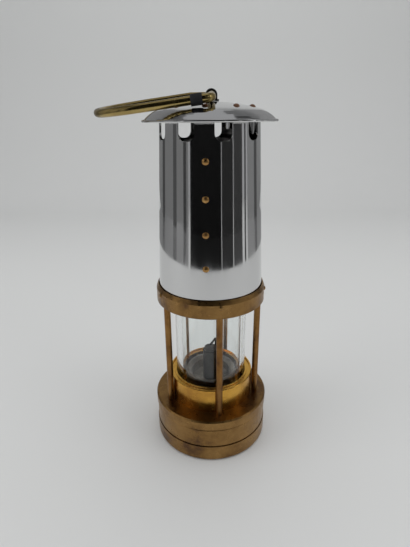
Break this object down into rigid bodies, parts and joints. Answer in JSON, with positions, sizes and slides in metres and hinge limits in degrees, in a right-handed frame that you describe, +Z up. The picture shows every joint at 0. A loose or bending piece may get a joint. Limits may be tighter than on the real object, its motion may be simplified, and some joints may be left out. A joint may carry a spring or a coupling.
{
  "type": "miners lamp",
  "caption": "Flame safety lamp: brass fuel vessel, glass in a pillar cage, steel bonnet with air slots, domed lid and folding hook.",
  "frame": {"origin": "middle of the plane that the lamp stands on, on the lamp's axis", "axes": "+Z up along the lamp's axis, -Y towards the front with the seam rivets, -X towards the folded hook"},
  "size_m": [0.1117, 0.084, 0.247],
  "materials": {
    "aged_brass": "worn satin",
    "bright_brass": "bright",
    "cotton": "loose",
    "burner_steel": "dull",
    "dark_steel": "sooty",
    "leather": "matte",
    "cork": "matte",
    "clear_glass": "clear",
    "fibre": "matte",
    "gauze_wire": "woven",
    "polished_steel": "mirror polished",
    "copper_brass": "dull",
    "black_steel": "matte black",
    "hook_brass": "worn satin",
    "black_sleeve": "matte"
  },
  "bodies": {
    "vessel": {"foot": "aged_brass", "vessel_body": "aged_brass", "vessel_neck": "bright_brass", "fuel_packing": "cotton", "burner_dish": "burner_steel", "wick_tube": "dark_steel", "wick": "cotton", "filler_plug": "bright_brass", "filler_washer": "leather", "pricker_tube": "bright_brass"},
    "gland": {"pricker_gland": "cork"},
    "pricker": {"pricker": "dark_steel", "pricker_knob": "bright_brass"},
    "glass_stack": {"glass": "clear_glass", "lower_washer": "fibre", "upper_washer": "fibre"},
    "cage": {"lower_ring": "aged_brass", "gallery": "bright_brass", "middle_ring": "aged_brass", "ring_screws": "aged_brass", "pillar_1": "aged_brass", "pillar_2": "aged_brass", "pillar_3": "aged_brass", "pillar_4": "aged_brass", "pillar_5": "aged_brass", "gauze_ring": "bright_brass", "inner_gauze": "gauze_wire", "outer_gauze": "gauze_wire", "bonnet": "polished_steel", "bonnet_rivets": "aged_brass", "lid": "polished_steel", "lid_rivets": "copper_brass"},
    "swivel": {"swivel_plate": "black_steel", "hook_staple": "black_steel", "swivel_stud": "black_steel", "swivel_washer": "black_steel"},
    "hook": {"hook": "hook_brass", "hook_sleeve": "black_sleeve"}
  },
  "joints": [
    {"name": "cage_lift", "type": "slide", "parent": "vessel", "child": "glass_stack", "axis": [0, 0, 1], "range_m": [0, 0.006]},
    {"name": "cage_turn", "type": "hinge", "parent": "glass_stack", "child": "cage", "pos_m": [0, 0, 0], "axis": [0, 0, 1], "range_deg": [0, 1080]},
    {"name": "hook_swivel", "type": "hinge", "parent": "cage", "child": "swivel", "pos_m": [0, 0, 0.23977], "axis": [0, 0, 1], "continuous": true},
    {"name": "hook_swing", "type": "hinge", "parent": "swivel", "child": "hook", "pos_m": [0.001, 0, 0.24337], "axis": [-0.0114, 0.9962, 0.0864], "range_deg": [0, 195]},
    {"name": "pricker_turn", "type": "hinge", "parent": "vessel", "child": "gland", "pos_m": [0.00397, 0.00983, 0], "axis": [0, 0, 1], "range_deg": [-120, 120]},
    {"name": "pricker_lift", "type": "slide", "parent": "gland", "child": "pricker", "axis": [0, 0, 1], "range_m": [-0.0008, 0.0034]}
  ],
  "couplings": [
    {"joint": "cage_lift", "follows": "cage_turn", "m_per_rad": 0.0003183}
  ]
}
